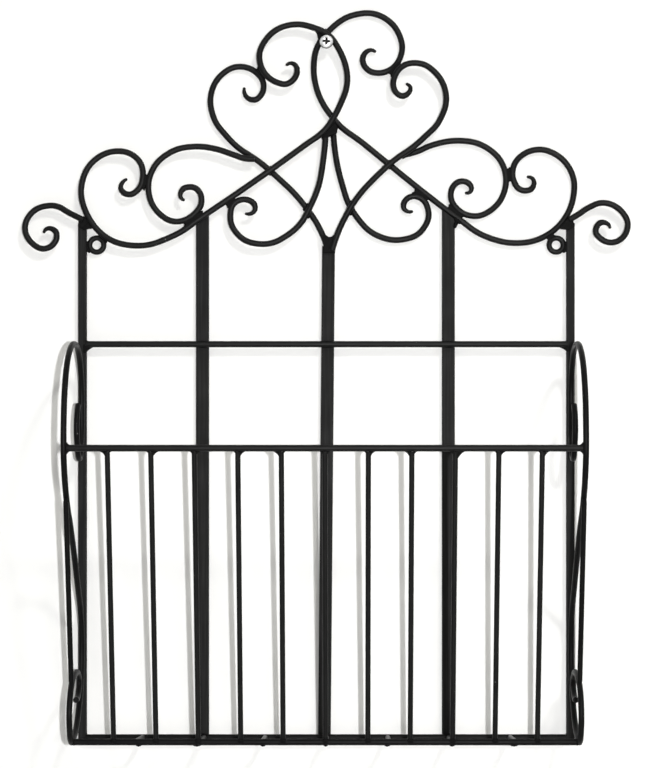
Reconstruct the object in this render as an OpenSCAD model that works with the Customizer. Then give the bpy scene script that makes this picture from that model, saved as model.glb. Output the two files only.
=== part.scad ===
// Wall-hung newspaper rack of bent and welded rod.
// Millimetres. X runs to the right and Z up. The wall is the plane y = 0, and the rack stands in
// front of it, at -Y.
// The origin lies on the wall, on the rack's centre line, level with the bottom back rail.

/* [Back frame] */
// Width between the axes of the two uprights
frame_w = 365; // [350:1:385]
// Height of the crown's base line
back_h = 385; // [350:1:450]
// Side of the square uprights
upright_w = 5.9; // [5:0.1:8]
// Width of the flat bars
flat_w = 9.5; // [6:0.1:13]
// Thickness of the flat bars
flat_t = 4.4; // [3:0.1:6]
// Distance of the left flat bar outside its quarter line
left_flat_out = 1.5; // [0:0.1:4]
// Sideways lean of the centre flat bar, from foot to top
centre_lean = 3.2; // [0:0.1:6]
// Diameter of the four rails
rail_d = 4.7; // [3.6:0.1:5.4]
// Height of the back rail
back_rail_h = 293.5; // [275:0.5:320]

/* [Crown] */
// Diameter of the crown rods
scroll_d = 4.5; // [3.6:0.1:5]
// Diameter at the drawn-out point of a scroll
tip_d = 2.3; // [1.6:0.1:3]

/* [Basket] */
// Depth of the front rail's axis, from the wall
basket_d = 102; // [90:1:120]
// Height of the front rail
front_rail_h = 216; // [205:0.5:225]
// Depth of the bottom front rail's axis, from the wall
floor_d = 64; // [56:1:74]
// Height of the bottom front rail above the bottom back rail
floor_rise = 5; // [2:0.5:9]
// Diameter of the side scrolls
side_d = 4.3; // [3.4:0.1:5]
// Diameter of the wires and corner rods
wire_d = 3.8; // [2.8:0.1:4.4]
// Number of front wires
front_wires = 11; // [7:1:13]
// Number of floor wires
floor_wires = 7; // [5:1:9]

/* [Fixing] */
// Diameter of an eyelet's hole
eyelet_hole = 6.6; // [5.6:0.1:8.4]
// Diameter of the wire of an eyelet
eyelet_wire = 4.1; // [2.4:0.1:5]
// Height of the eyelets below the crown's base line
eyelet_drop = 17; // [16:0.5:24]
// Diameter of the screw's shank
screw_d = 4.8; // [4:0.1:5.5]
// Diameter of the screw's head
head_d = 10; // [8:0.1:12]
// Height of the screw's head
head_h = 3.4; // [2.4:0.1:4.5]
// Length of the screw behind the wall's face
screw_grip = 25; // [15:1:40]
// Length of the arms of the cross recess, end to end
recess_l = 5.8; // [4:0.1:6.4]
// Width of those arms
recess_w = 1.6; // [1:0.1:2]

/* [Hidden] */
// Weld gap left between two pieces that meet
gap = 0.1;
// Neighbouring bends of a rod share this length, and every other bend is this much thicker
bite = 0.1;
hair = 0.02;
// A bend of a larger radius than this is drawn straight
straight_r = 600;
// Width of the frame, diameter of the rods, and height of the upper crossing over the base line, that
// the crown's points are drawn for
drawn_w = 365;
drawn_d = 4.2;
drawn_crossing = 140.8;
// Number of bends in the drawn-out point of a scroll
tip_bends = 6;
$fn = 48;

FRONT_WIRES = [for (i = [1 : front_wires]) str("front_wire_", i)];
FLOOR_WIRES = [for (i = [1 : floor_wires]) str("floor_wire_", i)];

half_w = frame_w / 2;
quarter_w = frame_w / 4;
stretch = frame_w / drawn_w;

// Depths of the layers, from the wall: the crown's back rods are flush with the fronts of the flat
// bars, and its front rods lie on both
back_face = max(flat_t, scroll_d);
back_layer = back_face - scroll_d / 2;
front_layer = back_face + gap + scroll_d / 2;
rail_depth = flat_t + gap + rail_d / 2;
side_depth = upright_w + gap + side_d / 2;

// Centre lines of the crown's rods, as [x, height over the base line], each towards its curled end
CROWN_LEFT = [
    [-149.6, 31.4], [-152.4, 29], [-153.6, 25.2], [-151.4, 21.6], [-147.4, 20.3], [-140, 24.5],
    [-137, 33], [-139.3, 44.5], [-147.5, 51.2], [-157.5, 52.5], [-175, 44], [-183, 25], [-178, 4],
    [-163, -12.5], [-140, -18], [-113, -10], [-92, 4], [-43, 37.5], [-15, 57.8], [-3, 66.5], [10, 86.5],
    [15.5, 103], [10, 127.5], [0, 140.5], [-10, 145], [-22, 147.3], [-42, 139.5], [-50, 122],
    [-43.5, 108], [-36.5, 103.8], [-29.8, 102.8], [-24.6, 106], [-21.9, 111.8], [-22.8, 116.4],
    [-25.8, 118.3], [-29.3, 117.2]];
CROWN_RIGHT = [
    [151, 34], [154.3, 32.8], [155.5, 29], [153.4, 25], [149.2, 23.7], [144.6, 24.8], [140.3, 31],
    [140.8, 43.5], [149, 51.8], [159, 54.5], [173, 50], [184, 36], [184.5, 17], [174.5, -2], [158, -13],
    [140, -15.5], [118.5, -10.3], [96, 4.8], [67, 27], [29.5, 57.5], [7, 75.5], [-6, 96], [-9.5, 113],
    [-6.5, 132], [2, 143.5], [18, 154.5], [38.5, 155.3], [54, 141.5], [56.5, 128], [48, 114.5],
    [38.5, 111.8], [31.8, 113.6], [27.7, 118.6], [27.4, 124], [29.8, 127.6], [33, 129], [36.2, 128]];
HEART_LEFT = [
    [0, -17.2], [-5.5, -4], [-16, 12], [-45, 41], [-73, 62.5], [-84.5, 78.5], [-86.8, 93], [-80, 109],
    [-66, 116.5], [-53, 112.5], [-47.2, 103.8], [-48.6, 96], [-54, 91.7], [-59.2, 93.2], [-61.5, 97],
    [-61.6, 100]];
HEART_RIGHT = [
    [4.3, -21.5], [10, -5], [19.3, 12.5], [45, 41], [71.3, 61.3], [84.5, 75.5], [89.5, 92], [82.5, 110],
    [70.3, 118], [57, 116], [50.7, 107.5], [50, 101.3], [52.4, 96], [57.5, 93.8], [61.7, 96.4],
    [62.8, 100.2], [60.4, 102.6]];
LEAF_LEFT = [
    [-0.9, 62.5], [-1.6, 53.5], [-9.2, 18], [-25, -6.7], [-47, -16.5], [-64, -11.5], [-71.8, 2.3],
    [-67.7, 14.9], [-61.8, 16.8], [-57.3, 15.9], [-53.9, 13], [-53.4, 9.2], [-56.3, 6.2], [-59.8, 6.1]];
LEAF_RIGHT = [
    [5.3, 70], [6.2, 57], [10, 35.7], [21.2, 6.5], [36, -8.5], [54, -13], [71, -6.5], [76.6, 7.9],
    [71.4, 17.8], [65, 19.7], [60, 17.4], [57.9, 13.5], [58.4, 10.3], [60.7, 8.4], [64, 8.2]];
C_LEFT = [
    [-54, 46.3], [-62, 46.8], [-70, 49.5], [-82, 53.5], [-97, 55.5], [-115, 52], [-129, 40],
    [-133.2, 25], [-127, 7.5], [-113, -0.5], [-100, 4.2], [-93.5, 14.5], [-95, 21.3], [-98.5, 24.6],
    [-102.5, 25.3], [-107.2, 23.8], [-109.3, 20.6], [-109, 17.6], [-107, 15.7]];
C_RIGHT = [
    [56.5, 49.5], [67, 52], [79, 57], [97.5, 60.5], [117, 57], [132, 43], [134.6, 27.5], [126, 10.5],
    [111.5, 4], [100.5, 7.5], [93.4, 19.5], [95, 26], [98.5, 29.3], [102.5, 30.1], [107, 28.3],
    [109, 25], [107.8, 22], [105, 21.3]];
CURL_LEFT = [
    [-182, 1.5], [-188, 4.5], [-206, 12], [-220, 6.5], [-225, -4.5], [-219.5, -16.3], [-211, -20.2],
    [-204.6, -17.6], [-201.4, -11.8], [-202.3, -7.2], [-205.8, -5.1], [-209, -5.5], [-210.7, -7.6]];
CURL_RIGHT = [
    [181.5, 1.5], [188, 5.3], [195, 10], [206, 14], [219.5, 8.5], [225, -2.5], [220.3, -12.7],
    [212, -15.6], [205, -12.8], [201.1, -7.5], [202, -3.4], [204.9, -0.8], [207.8, -0.7], [210.4, -2],
    [211.6, -4.2]];
// First point of the straight run of each crown rod over its flat bar
LEFT_RUN = 16;
RIGHT_RUN = 17;
// The point of the left crown rod above which the crown grows and shrinks with its upper crossing
LEFT_KNEE = 20;
// How far a scroll beside a crown rod moves off it, for each millimetre that the rods are thicker
LEAF_LEFT_OFF = [0.57, -0.82];
LEAF_RIGHT_OFF = [-0.62, -0.78];
C_LEFT_OFF = [1, 1.9];
C_RIGHT_OFF = [-1, 2.1];

// The upper crossing of the crown rods, over the base line, and half the angle of the fork under it as
// it is drawn
crossing_over = 140.8;
fork_half = 42;
knee = CROWN_LEFT[LEFT_KNEE][1];
crown_rise = (crossing_over - knee) / (drawn_crossing - knee);
fork = atan(tan(fork_half) * stretch / crown_rise);
screw_h = back_h + crossing_over - (scroll_d / 2 + screw_d / 2 + gap) / sin(fork);

// Centre line of a side scroll, as [depth from the wall, height], from the inner end of its upper
// loop. Its back touches the upright at two heights, and bows away from it above and below them.
arch = back_rail_h - 2.2;
limb_h = (front_rail_h + arch) / 2 - 10;
limb_half = 0.29 * (arch - front_rail_h);
heel_h = 66;
heel_half = 22;
SIDE = [
    [28, front_rail_h + 31.5], [36, front_rail_h + 17], [33, front_rail_h + 3], [22, front_rail_h - 8],
    [side_depth + 2.2, limb_h - limb_half], [side_depth + gap / 2, limb_h],
    [side_depth + 2.2, limb_h + limb_half], [27, arch - 4], [52, arch], [80, arch - 11],
    [basket_d - 5, front_rail_h + 40], [basket_d, front_rail_h + 16], [basket_d, front_rail_h - 4],
    [basket_d - 6, front_rail_h - 23], [basket_d - 14, front_rail_h - 36],
    [65, 157], [33.5, 119], [side_depth + 3.6, heel_h + heel_half], [side_depth, heel_h],
    [side_depth + 3.6, heel_h - heel_half], [20, 29.5],
    [floor_d - 15, floor_rise + 2], [floor_d, floor_rise], [floor_d + 10, floor_rise + 15],
    [floor_d + 4, floor_rise + 36], [floor_d - 1.6, floor_rise + 41.1],
    [floor_d - 19, floor_rise + 46.5], [29, floor_rise + 45], [22.5, floor_rise + 38],
    [28, floor_rise + 30], [39, floor_rise + 27]];
// The points of the side scroll where the corner rod's two ends are welded on
CORNER_TOP = 14;
CORNER_FOOT = 25;

upright_h = back_h + CURL_LEFT[0][1] - scroll_d / 2 - gap;
eyelet_r = eyelet_hole / 2 + eyelet_wire;
eyelet_x = half_w - upright_w / 2 - gap - eyelet_r;
eyelet_h = back_h - eyelet_drop;
foot = -rail_d / 2;

// Plane geometry of smooth rods: two tangent arcs between each pair of points
function unit(v) = v / norm(v);
function turn(a, b) = atan2(a[0] * b[1] - a[1] * b[0], a * b);
function mirrored(t, c) = let (u = unit(c)) 2 * (t * u) * u - t;
function heading(p, i) = let (a = p[i] - p[i - 1], b = p[i + 1] - p[i])
    unit(unit(a) * norm(b) + unit(b) * norm(a));
function headings(p) = let (n = len(p) - 1, inner = [for (i = [1 : n - 1]) heading(p, i)])
    concat([mirrored(inner[0], p[1] - p[0])], inner, [mirrored(inner[n - 2], p[n] - p[n - 1])]);
function reach(v, ta, tb) = let (t = v * (ta + tb), k = 2 * (1 - ta * tb))
    k < 1e-6 ? (v * v) / (4 * (v * tb)) : (sqrt(t * t + k * (v * v)) - t) / k;
function meeting(a, ta, b, tb) = let (s = reach(b - a, ta, tb)) (a + s * ta + b - s * tb) / 2;
function arcs(p) = let (t = headings(p)) [
    for (i = [0 : len(p) - 2])
        let (m = meeting(p[i], t[i], p[i + 1], t[i + 1]))
            each [[p[i], t[i], m], [m, mirrored(t[i], m - p[i]), p[i + 1]]]];
function risen(z) = z > knee ? knee + (z - knee) * crown_rise : z;
function stretched(p) = [for (q = p) [q[0] * stretch, risen(q[1])]];
function moved(p, off) = [for (q = p) q + off * (scroll_d - drawn_d)];

// One bend from arc[0] along the heading arc[1] to arc[2], lengthened at its start and end
module bend(arc, d, before, after) {
    chord = arc[2] - arc[0];
    half = turn(arc[1], chord);
    r = abs(norm(chord) / (2 * sin(half)));
    degrees = 180 / PI / r;
    translate(arc[0])
        if (r > straight_r)
            rotate(turn([1, 0], chord))
                translate([-before, 0, 0])
                    rotate([0, 90, 0])
                        cylinder(d = d, h = norm(chord) + before + after);
        else
            rotate(turn([1, 0], arc[1]))
                mirror([0, half < 0 ? 1 : 0, 0])
                    translate([0, r, 0])
                        rotate(-90 - before * degrees)
                            rotate_extrude(angle = abs(2 * half) + (before + after) * degrees)
                                translate([r, 0])
                                    circle(d = d);
}

// A rod of diameter d along a chain of bends
module rod(bends, d) {
    for (i = [0 : len(bends) - 1]) {
        thin = i % 2 == 0;
        bend(bends[i], thin ? d : d + hair, thin && i > 0 ? bite : 0, thin ? bite : 0);
    }
}

// The drawn-out point of a rod of diameter d: a short cone along each of the bends
module point(bends, d) {
    n = len(bends);
    for (i = [0 : n - 1]) {
        a = bends[i][0];
        b = bends[i][2];
        from_d = drawn_out(d, i / n);
        translate(a)
            rotate(turn([1, 0], b - a))
                rotate([0, 90, 0]) {
                    sphere(d = from_d + (i == 0 ? 2 : 1) * hair);
                    cylinder(d1 = from_d, d2 = drawn_out(d, (i + 1) / n), h = norm(b - a));
                }
    }
    translate(bends[n - 1][2])
        sphere(d = tip_d + hair);
}
function drawn_out(d, f) = d + (tip_d - d) * f;
function between(v, a, b) = [for (i = [a : b - 1]) v[i]];
function backwards(bends) = [for (i = [len(bends) - 1 : -1 : 0]) [bends[i][2], undef, bends[i][0]]];

// A crown rod through the points, in the layer at a depth. Its far end, or both ends, are drawn out.
module crown_rod(points, depth, both = false) {
    bends = arcs(stretched(points));
    first = both ? tip_bends : 0;
    last = len(bends) - tip_bends;
    translate([0, -depth, back_h])
        rotate([90, 0, 0]) {
            rod(between(bends, first, last), scroll_d);
            point(between(bends, last, len(bends)), scroll_d);
            if (both)
                point(backwards(between(bends, 0, first)), scroll_d);
        }
}

module crown_scroll_left() color("#2a2a2b") crown_rod(CROWN_LEFT, front_layer, both = true);
module crown_scroll_right() color("#2a2a2b") crown_rod(CROWN_RIGHT, back_layer, both = true);
module heart_scroll_left() color("#2a2a2b") crown_rod(HEART_LEFT, back_layer);
module heart_scroll_right() color("#2a2a2b") crown_rod(HEART_RIGHT, front_layer);
module leaf_scroll_left() color("#2a2a2b") crown_rod(moved(LEAF_LEFT, LEAF_LEFT_OFF), front_layer);
module leaf_scroll_right() color("#2a2a2b") crown_rod(moved(LEAF_RIGHT, LEAF_RIGHT_OFF), back_layer);
module c_scroll_left() color("#2a2a2b") crown_rod(moved(C_LEFT, C_LEFT_OFF), front_layer);
module c_scroll_right() color("#2a2a2b") crown_rod(moved(C_RIGHT, C_RIGHT_OFF), back_layer);
module side_curl_left() color("#2a2a2b") crown_rod(CURL_LEFT, front_layer);
module side_curl_right() color("#2a2a2b") crown_rod(CURL_RIGHT, front_layer);

// A square upright at x
module upright(x) color("#2a2a2b")
    translate([x - upright_w / 2, -upright_w, foot])
        cube([upright_w, upright_w, upright_h - foot]);

// A flat bar between two heights, from foot_x to top_x, with its top cut to a slope
module flat_bar(foot_x, top_x, top, slope = 0) color("#2a2a2b") {
    half = flat_w / 2;
    rotate([90, 0, 0])
        linear_extrude(flat_t)
            polygon([
                [foot_x - half, foot], [foot_x + half, foot],
                [top_x + half, top + slope * half], [top_x - half, top - slope * half]]);
}

// Height over the base line, and slope, of the straight run of a crown rod from a to b
function slope_of(a, b) = (b[1] - a[1]) / (b[0] - a[0]);
function height_at(a, b, x) = a[1] + (x - a[0]) * slope_of(a, b);

// A straight rod between two points
module straight(a, b, d) color("#2a2a2b")
    translate(a)
        multmatrix(axes_along(b - a))
            cylinder(d = d, h = norm(b - a));
function across(w) = unit(cross(abs(w[0]) > 0.5 ? [0, 0, 1] : [1, 0, 0], w));
function axes_along(v) = let (w = unit(v), u = across(w), s = cross(w, u))
    [[u[0], s[0], w[0], 0], [u[1], s[1], w[1], 0], [u[2], s[2], w[2], 0], [0, 0, 0, 1]];

// A rail across the rack at a depth and height, between two ends at -reach and +reach
module rail(reach, depth, height)
    straight([-reach, -depth, height], [reach, -depth, height], rail_d);

// A wire between two rails, given by the depth and height of each, that stops short of their skins
module wire(x, a, b) {
    clear = rail_d / 2 + gap;
    along = unit(b - a);
    p = a + along * clear;
    q = b - along * clear;
    straight([x, -p[0], p[1]], [x, -q[0], q[1]], wire_d);
}

module left_upright() upright(-half_w);
module right_upright() upright(half_w);
module left_flat_bar() {
    x = -quarter_w - left_flat_out;
    p = stretched(CROWN_LEFT);
    a = p[LEFT_RUN];
    b = p[LEFT_RUN + 1];
    flat_bar(x, x, back_h + height_at(a, b, x), slope_of(a, b));
}
module centre_flat_bar() {
    p = stretched(HEART_LEFT);
    under = scroll_d / 2 * abs(headings(p)[0][0]) + gap;
    flat_bar(-centre_lean / 2, centre_lean / 2, back_h + p[0][1] - under);
}
module right_flat_bar() {
    x = quarter_w;
    p = stretched(CROWN_RIGHT);
    a = p[RIGHT_RUN];
    b = p[RIGHT_RUN + 1];
    slope = slope_of(a, b);
    under = (scroll_d / 2 + gap) * norm([1, slope]);
    flat_bar(x, x, back_h + height_at(a, b, x) - under, slope);
}
module back_rail() rail(half_w - upright_w / 2 - gap, rail_depth, back_rail_h);
module bottom_back_rail() rail(half_w - upright_w / 2 - gap, rail_depth, 0);
module front_rail() rail(half_w - side_d / 2 - gap, basket_d, front_rail_h);
module bottom_front_rail() rail(half_w - side_d / 2 - gap, floor_d, floor_rise);

// A wire ring that stands on the wall, with a true bore through it
module eyelet(x) color("#2a2a2b")
    translate([x, -eyelet_wire / 2, eyelet_h])
        rotate([90, 0, 0])
            difference() {
                rotate_extrude()
                    translate([eyelet_hole / 2 + eyelet_wire / 2 - gap, 0])
                        circle(d = eyelet_wire);
                cylinder(d = eyelet_hole, h = 2 * eyelet_wire, center = true);
            }
module wall_eyelet_left() eyelet(-eyelet_x);
module wall_eyelet_right() eyelet(eyelet_x);

// A side scroll stands in the plane of its upright
module side_scroll(x) color("#2a2a2b")
    translate([x, 0, 0])
        rotate([90, 0, -90])
            rod(arcs(SIDE), side_d);
module side_scroll_left() side_scroll(-half_w);
module side_scroll_right() side_scroll(half_w);

// The end of a rod of diameter d that comes from b and stops on the skin of the side scroll at point i
function seat(i, b, d) = let (
    q = SIDE[i], t = headings(SIDE)[i], c = unit(b - q),
    n = (c[0] * t[1] - c[1] * t[0]) * [t[1], -t[0]])
    q + unit(n) * (side_d / 2 + gap + d / 2 * abs(c * t));
module corner_rod(x) {
    a = seat(CORNER_TOP, SIDE[CORNER_FOOT], wire_d);
    b = seat(CORNER_FOOT, SIDE[CORNER_TOP], wire_d);
    straight([x, -a[0], a[1]], [x, -b[0], b[1]], wire_d);
}
module corner_rod_left() corner_rod(-half_w);
module corner_rod_right() corner_rod(half_w);

module front_wire(i)
    wire(-half_w + frame_w * i / (front_wires + 1), [basket_d, front_rail_h], [floor_d, floor_rise]);
module floor_wire(i)
    wire(-half_w + frame_w * i / (floor_wires + 1), [rail_depth, 0], [floor_d, floor_rise]);

// The screw: a pan head with a cross recess, and a shank that ends in a point behind the wall
module wall_screw() color("#c8c9cc") {
    head_at = front_layer + scroll_d / 2 + gap;
    point = 2 * screw_d;
    rim = head_h / 3;
    dome_r = head_d / 2;
    dome_h = head_h - rim;
    translate([0, 0, screw_h])
        rotate([90, 0, 0])
            difference() {
                rotate_extrude()
                    polygon(concat(
                        [[0, -screw_grip - point], [screw_d / 2, -screw_grip], [screw_d / 2, head_at],
                         [dome_r, head_at]],
                        [for (a = [0 : 15 : 90]) [dome_r * cos(a), head_at + rim + dome_h * sin(a)]]));
                for (a = [0, 90])
                    rotate(a)
                        translate([-recess_l / 2, -recess_w / 2, head_at + rim])
                            cube([recess_l, recess_w, head_h]);
            }
}

left_upright();
right_upright();
left_flat_bar();
centre_flat_bar();
right_flat_bar();
back_rail();
bottom_back_rail();
front_rail();
bottom_front_rail();
crown_scroll_left();
crown_scroll_right();
heart_scroll_left();
heart_scroll_right();
leaf_scroll_left();
leaf_scroll_right();
c_scroll_left();
c_scroll_right();
side_curl_left();
side_curl_right();
wall_eyelet_left();
wall_eyelet_right();
side_scroll_left();
side_scroll_right();
corner_rod_left();
corner_rod_right();
for (i = [1 : front_wires])
    front_wire(i);
for (i = [1 : floor_wires])
    floor_wire(i);
wall_screw();
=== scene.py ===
"""Looks of a wall-hung newspaper rack of bent, welded and black-coated steel rod.

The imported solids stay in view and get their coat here. The scene adds what the solids leave out:
the weld fillets, seams, webs and beads, and a threaded wall screw in place of the plain one.
"""

import logging
import math
from dataclasses import dataclass, field
from enum import Enum

import bpy
from mathutils import Matrix, Vector


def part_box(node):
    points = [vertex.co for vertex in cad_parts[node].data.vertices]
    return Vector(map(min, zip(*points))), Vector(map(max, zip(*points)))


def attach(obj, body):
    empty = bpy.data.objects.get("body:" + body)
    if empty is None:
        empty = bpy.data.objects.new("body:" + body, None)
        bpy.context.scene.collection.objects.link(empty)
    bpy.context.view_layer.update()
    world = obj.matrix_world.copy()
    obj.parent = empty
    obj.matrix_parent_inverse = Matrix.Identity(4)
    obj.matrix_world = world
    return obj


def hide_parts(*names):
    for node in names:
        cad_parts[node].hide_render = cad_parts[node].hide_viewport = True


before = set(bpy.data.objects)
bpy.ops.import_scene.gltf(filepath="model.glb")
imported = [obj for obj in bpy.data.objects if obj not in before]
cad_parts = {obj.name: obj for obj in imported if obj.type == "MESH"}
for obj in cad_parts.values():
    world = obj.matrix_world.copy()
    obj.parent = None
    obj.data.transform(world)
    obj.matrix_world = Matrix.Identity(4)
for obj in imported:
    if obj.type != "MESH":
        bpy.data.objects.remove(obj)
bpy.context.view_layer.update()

LOG = logging.getLogger("newspaper_rack")
MM = 0.001
BODY = "root"
ACROSS = Vector((1.0, 0.0, 0.0))
UP = Vector((0.0, 0.0, 1.0))
OUT = Vector((0.0, -1.0, 0.0))
WHITE = (1.0, 1.0, 1.0, 1.0)
# The sockets of a Mix node that mixes colours
MIX_FACTOR, MIX_FIRST, MIX_SECOND, MIX_RESULT = 0, 6, 7, 2
# The share of a face's normal along an axis, from which on the face looks that way
FACING = 0.9
# How far out on a rail's radius a fillet starts, so that it sinks into the rail a little
RAIL_SINK = 0.97
Pair = tuple[float, float]
Triple = tuple[float, float, float]
Colour = tuple[float, float, float, float]
# What a node's input takes
Feed = float | Triple | Colour | bpy.types.NodeSocket


class Side(Enum):
    """The two sides of the rack, by the sign of X."""

    LEFT = -1
    RIGHT = 1

    @property
    def word(self) -> str:
        """The side as it stands in the names of nodes."""
        return self.name.lower()

    def edge(self, low: Vector, high: Vector) -> float:
        """Give the X of a box's edge on this side, from its two corners."""
        return low.x if self is Side.LEFT else high.x


class Layer(Enum):
    """The two layers of crown rods and the plane between them, as a share of the way to the front."""

    BACK = 0.0
    MIDDLE = 0.5
    FRONT = 1.0


class WeldShape(Enum):
    """The forms of weld metal that repeat."""

    BEAD = "bead"
    COLLAR = "collar"
    GUSSET = "gusset"
    SEAM = "seam"


class Graph:
    """A node tree with short calls to add nodes and to join them."""

    def __init__(self, tree: bpy.types.NodeTree) -> None:
        """Keep the tree.

        Args:
            tree: the node tree of a material, a world or a node group.
        """
        self.tree = tree

    def add(self, kind: str, settings: dict[str, object] | None = None, **inputs: Feed) -> bpy.types.Node:
        """Add a node.

        Args:
            kind: the node's type, as Blender names it.
            settings: properties of the node itself.
            **inputs: input sockets by name, with _ for a space, each a value or another socket.

        Returns:
            The new node.
        """
        node = self.tree.nodes.new(kind)
        for name, value in (settings or {}).items():
            setattr(node, name, value)
        for name, value in inputs.items():
            self.put(node.inputs[name.replace("_", " ")], value)
        return node

    def put(self, socket: bpy.types.NodeSocket, value: Feed) -> None:
        """Set a socket, or link another socket to it.

        Args:
            socket: the input socket.
            value: a plain value, or an output socket.
        """
        if isinstance(value, bpy.types.NodeSocket):
            self.tree.links.new(value, socket)
        else:
            socket.default_value = value

    def sum(self, operation: str, *values: Feed) -> bpy.types.NodeSocket:
        """Work out a value.

        Args:
            operation: the operation, as the Math node names it.
            *values: its operands, each a number or a socket.

        Returns:
            The output socket.
        """
        node = self.add("ShaderNodeMath", {"operation": operation})
        for socket, value in zip(node.inputs, values):
            self.put(socket, value)
        return node.outputs[0]

    def ramp(self, value: Feed, start: Pair, end: Pair) -> bpy.types.NodeSocket:
        """Map a value from one range to another, and clamp it.

        Args:
            value: the socket to map.
            start: a value that is read, and what it becomes.
            end: another value that is read, and what it becomes.

        Returns:
            The output socket.
        """
        node = self.add("ShaderNodeMapRange", Value=value, From_Min=start[0], From_Max=end[0])
        self.put(node.inputs["To Min"], start[1])
        self.put(node.inputs["To Max"], end[1])
        return node.outputs["Result"]

    def mix(self, factor: Feed, first: Feed, second: Feed) -> bpy.types.NodeSocket:
        """Mix two colours.

        Args:
            factor: share of the second colour.
            first: a colour or a socket.
            second: a colour or a socket.

        Returns:
            The output socket.
        """
        node = self.add("ShaderNodeMix", {"data_type": "RGBA"})
        self.put(node.inputs[MIX_FACTOR], factor)
        self.put(node.inputs[MIX_FIRST], first)
        self.put(node.inputs[MIX_SECOND], second)
        return node.outputs[MIX_RESULT]

    def bump(self, height: Feed, strength: float, distance: float) -> bpy.types.NodeSocket:
        """Turn a height into a normal.

        Args:
            height: the socket that gives the height.
            strength: the strength of the effect.
            distance: the height of the relief in metres.

        Returns:
            The output socket.
        """
        return self.add("ShaderNodeBump", Height=height, Strength=strength, Distance=distance).outputs[0]

    def seen(self) -> bpy.types.NodeSocket:
        """Give 1 for what the camera sees, straight, mirrored or through glass, and 0 for light.

        Returns:
            The output socket.
        """
        path = self.add("ShaderNodeLightPath").outputs
        mirrored = self.sum("MAXIMUM", path["Is Camera Ray"], path["Is Glossy Ray"])
        return self.sum("MAXIMUM", mirrored, path["Is Transmission Ray"])


def new_group(name: str, inputs: dict[str, float | None],
              outputs: tuple[str, ...]) -> tuple[Graph, bpy.types.NodeOutputs, bpy.types.NodeInputs]:
    """Start a shader node group.

    Args:
        name: the group's name.
        inputs: its inputs with their default values; None stands for a vector.
        outputs: the names of the values that it puts out.

    Returns:
        The group's graph, the sockets of its inputs and the sockets of its outputs.
    """
    tree = bpy.data.node_groups.new(name, "ShaderNodeTree")
    for word, value in inputs.items():
        kind = "NodeSocketVector" if value is None else "NodeSocketFloat"
        socket = tree.interface.new_socket(name=word, in_out="INPUT", socket_type=kind)
        if value is not None:
            socket.default_value = value
    for word in outputs:
        tree.interface.new_socket(name=word, in_out="OUTPUT", socket_type="NodeSocketFloat")
    given = tree.nodes.new("NodeGroupInput").outputs
    return Graph(tree), given, tree.nodes.new("NodeGroupOutput").inputs


def grain_group() -> bpy.types.NodeTree:
    """Build the surface grain that the coat and the plating share.

    Returns:
        A group that puts out a fine height and broad patches, each from 0 to 1.
    """
    inputs = {"Vector": None, "Fine": 900.0, "Broad": 30.0}
    graph, given, out = new_group("fine_grain", inputs, ("Height", "Patch"))
    where = given["Vector"]
    patch_starts, patch_full = 0.32, 0.68
    fine = graph.add("ShaderNodeTexNoise", Vector=where, Scale=given["Fine"], Detail=2.0, Roughness=0.55)
    broad = graph.add("ShaderNodeTexNoise", Vector=where, Scale=given["Broad"], Detail=4.0, Roughness=0.6)
    graph.put(out["Height"], fine.outputs[0])
    graph.put(out["Patch"], graph.ramp(broad.outputs[0], (patch_starts, 0.0), (patch_full, 1.0)))
    return graph.tree


def chip_group() -> bpy.types.NodeTree:
    """Build the sparse small chips and rubs in a coat.

    Returns:
        A group that puts out a mask, 1 on a chip.
    """
    inputs = {"Vector": None, "Scale": 170.0, "Radius": 0.1, "Spread": 0.66, "Ragged": 0.0012}
    graph, given, out = new_group("small_chips", inputs, ("Mask",))
    warp_scale, field_scale = 700.0, 11.0
    warp = graph.add("ShaderNodeTexNoise", Vector=given["Vector"], Scale=warp_scale, Detail=2.0)
    nudge = graph.add("ShaderNodeVectorMath", {"operation": "SCALE"}, Scale=given["Ragged"])
    graph.put(nudge.inputs[0], warp.outputs[1])
    place = graph.add("ShaderNodeVectorMath", {"operation": "ADD"})
    graph.put(place.inputs[0], given["Vector"])
    graph.put(place.inputs[1], nudge.outputs[0])
    cells = graph.add("ShaderNodeTexVoronoi", Vector=place.outputs[0], Scale=given["Scale"])
    near = graph.sum("LESS_THAN", cells.outputs["Distance"], given["Radius"])
    fields = graph.add("ShaderNodeTexNoise", Vector=given["Vector"], Scale=field_scale, Detail=3.0)
    rare = graph.sum("GREATER_THAN", fields.outputs[0], given["Spread"])
    graph.put(out["Mask"], graph.sum("MULTIPLY", near, rare))
    return graph.tree


class Groups:
    """The shared node groups, each built once."""

    def __init__(self) -> None:
        """Build the groups."""
        self.grain = grain_group()
        self.chips = chip_group()


def blank_material(name: str) -> tuple[bpy.types.Material, Graph, bpy.types.NodeSocket]:
    """Start a material with nothing but its output.

    Args:
        name: the material's name.

    Returns:
        The material, its graph and the socket that takes its surface.
    """
    material = bpy.data.materials.new(name)
    material.use_nodes = True
    material.node_tree.nodes.clear()
    graph = Graph(material.node_tree)
    return material, graph, graph.add("ShaderNodeOutputMaterial").inputs["Surface"]


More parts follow.
